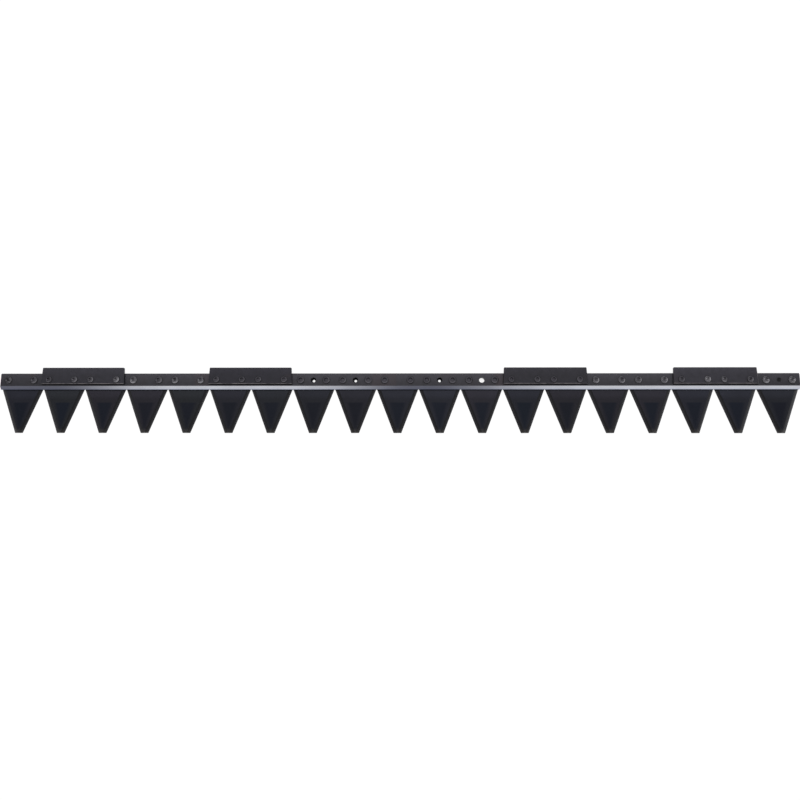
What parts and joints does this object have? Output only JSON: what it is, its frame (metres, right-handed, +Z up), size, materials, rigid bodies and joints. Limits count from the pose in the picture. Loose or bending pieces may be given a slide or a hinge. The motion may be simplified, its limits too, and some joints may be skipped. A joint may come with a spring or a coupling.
{
  "type": "mower knife",
  "caption": "Straight mower knife: a flat steel back with bevelled tapered sections riveted under it and wear plates riveted on top.",
  "frame": {"origin": "middle of the knife's length, on the line of the rivets, in the plane of the sections' undersides that the knife lies on", "axes": "+X along the knife to the right as pictured, -Y towards the section tips, +Z up towards the wear plates"},
  "size_m": [1.4478, 0.1178, 0.018],
  "materials": {
    "section_steel": "dark blued hardened steel, glossy, ground bevels",
    "back_steel": "dark coated steel with a bright ground front bevel",
    "plate_steel": "dark coated steel, semi-matt, lightly worn edges",
    "rivet_steel": "dark formed rivet steel, rims worn bright"
  },
  "bodies": {
    "root": {"section_01": "section_steel", "section_02": "section_steel", "section_03": "section_steel", "section_04": "section_steel", "section_05": "section_steel", "section_06": "section_steel", "section_07": "section_steel", "section_08": "section_steel", "section_09": "section_steel", "section_10": "section_steel", "section_11": "section_steel", "section_12": "section_steel", "section_13": "section_steel", "section_14": "section_steel", "section_15": "section_steel", "section_16": "section_steel", "section_17": "section_steel", "section_18": "section_steel", "section_19": "section_steel", "knife_back": "back_steel", "wear_plate_1": "plate_steel", "wear_plate_2": "plate_steel", "wear_plate_3": "plate_steel", "wear_plate_4": "plate_steel", "section_rivets": "rivet_steel", "plate_rivets": "rivet_steel"}
  },
  "joints": []
}
